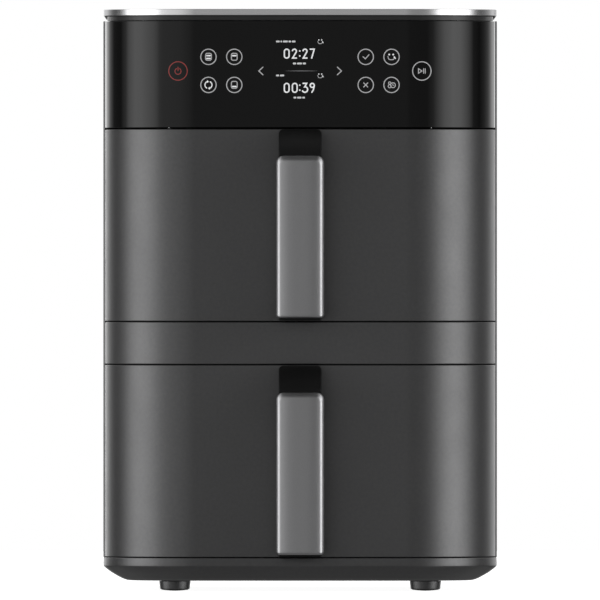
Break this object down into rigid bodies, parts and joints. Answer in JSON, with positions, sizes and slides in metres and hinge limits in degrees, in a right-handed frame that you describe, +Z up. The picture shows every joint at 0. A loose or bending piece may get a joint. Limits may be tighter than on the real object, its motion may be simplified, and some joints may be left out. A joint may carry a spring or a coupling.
{
  "type": "twin-drawer air fryer",
  "caption": "Stacked twin-drawer air fryer with rounded corners, gloss touch panel, upright metal-faced drawer handles, pull-out baskets with crisper plates, and a fan heater behind each.",
  "frame": {"origin": "on the surface it stands on, under the centre of the bounding box of the whole object, handles included", "axes": "+Z up, -Y out of the front where the drawers pull out, +X to the right seen from the front"},
  "size_m": [0.28, 0.416, 0.413],
  "materials": {
    "charcoal_paint": "satin charcoal metallic paint over moulded plastic",
    "gloss_black": "high-gloss black with backlit touch icons",
    "brushed_silver": "polished and finely brushed",
    "satin_silver": "satin anodised dark silver",
    "black_plastic": "fine matt black moulding",
    "top_plastic": "fine textured black moulding",
    "nonstick": "dark non-stick coating",
    "plated_steel": "bright plated sheet steel",
    "black_rubber": "matt black rubber",
    "grey_silicone": "grey silicone",
    "heater_steel": "heat-browned steel tube",
    "circuit_board": "green solder mask",
    "display_glass": "black display face",
    "motor_steel": "pressed steel can",
    "wire_sleeve": "braided sleeve over the wires"
  },
  "bodies": {
    "housing": {"base_pan": "charcoal_paint", "chassis_plate": "plated_steel", "control_panel": "gloss_black", "cord_gland": "black_rubber", "display_module": "display_glass", "electronics_deck": "plated_steel", "foot_front_left": "black_rubber", "foot_front_right": "black_rubber", "foot_rear_left": "black_rubber", "foot_rear_right": "black_rubber", "front_frame": "black_plastic", "left_side_panel": "charcoal_paint", "lower_cavity_liner": "plated_steel", "lower_fan_guard": "plated_steel", "lower_fan_motor": "motor_steel", "lower_heater_coil": "heater_steel", "lower_motor_bracket": "plated_steel", "lower_temperature_probe": "plated_steel", "middle_bulkhead": "black_plastic", "middle_trim": "charcoal_paint", "panel_carrier": "black_plastic", "power_board": "circuit_board", "rear_cover": "black_plastic", "rear_screw_lower_left": "plated_steel", "rear_screw_lower_right": "plated_steel", "rear_screw_upper_left": "plated_steel", "rear_screw_upper_right": "plated_steel", "right_side_panel": "charcoal_paint", "top_panel": "top_plastic", "top_shadow_ring": "black_plastic", "top_trim_band": "brushed_silver", "touch_board": "circuit_board", "upper_cavity_liner": "plated_steel", "upper_fan_guard": "plated_steel", "upper_fan_motor": "motor_steel", "upper_heater_coil": "heater_steel", "upper_motor_bracket": "plated_steel", "upper_temperature_probe": "plated_steel", "wiring_loom": "wire_sleeve"},
    "lower_drawer": {"lower_drawer_front": "charcoal_paint", "lower_drawer_inner_panel": "black_plastic", "lower_door_seal": "grey_silicone", "lower_handle_core": "black_plastic", "lower_handle_grip": "satin_silver", "lower_basket": "nonstick"},
    "lower_plate": {"lower_crisper_plate": "nonstick"},
    "lower_rotor": {"lower_motor_shaft": "plated_steel", "lower_convection_fan": "plated_steel", "lower_cooling_fan": "black_plastic"},
    "upper_drawer": {"upper_drawer_front": "charcoal_paint", "upper_drawer_inner_panel": "black_plastic", "upper_door_seal": "grey_silicone", "upper_handle_core": "black_plastic", "upper_handle_grip": "satin_silver", "upper_basket": "nonstick"},
    "upper_plate": {"upper_crisper_plate": "nonstick"},
    "upper_rotor": {"upper_motor_shaft": "plated_steel", "upper_convection_fan": "plated_steel", "upper_cooling_fan": "black_plastic"}
  },
  "joints": [
    {"name": "lower_drawer_slide", "type": "slide", "parent": "housing", "child": "lower_drawer", "axis": [0, -1, 0], "range_m": [0, 0.28]},
    {"name": "lower_plate_lift", "type": "slide", "parent": "lower_drawer", "child": "lower_plate", "axis": [0, 0, 1], "range_m": [0, 0.095]},
    {"name": "lower_fan_spin", "type": "hinge", "parent": "housing", "child": "lower_rotor", "pos_m": [0, 0.15, 0.09215], "axis": [0, 1, 0], "continuous": true},
    {"name": "upper_drawer_slide", "type": "slide", "parent": "housing", "child": "upper_drawer", "axis": [0, -1, 0], "range_m": [0, 0.28]},
    {"name": "upper_plate_lift", "type": "slide", "parent": "upper_drawer", "child": "upper_plate", "axis": [0, 0, 1], "range_m": [0, 0.095]},
    {"name": "upper_fan_spin", "type": "hinge", "parent": "housing", "child": "upper_rotor", "pos_m": [0, 0.15, 0.25965], "axis": [0, 1, 0], "continuous": true}
  ]
}
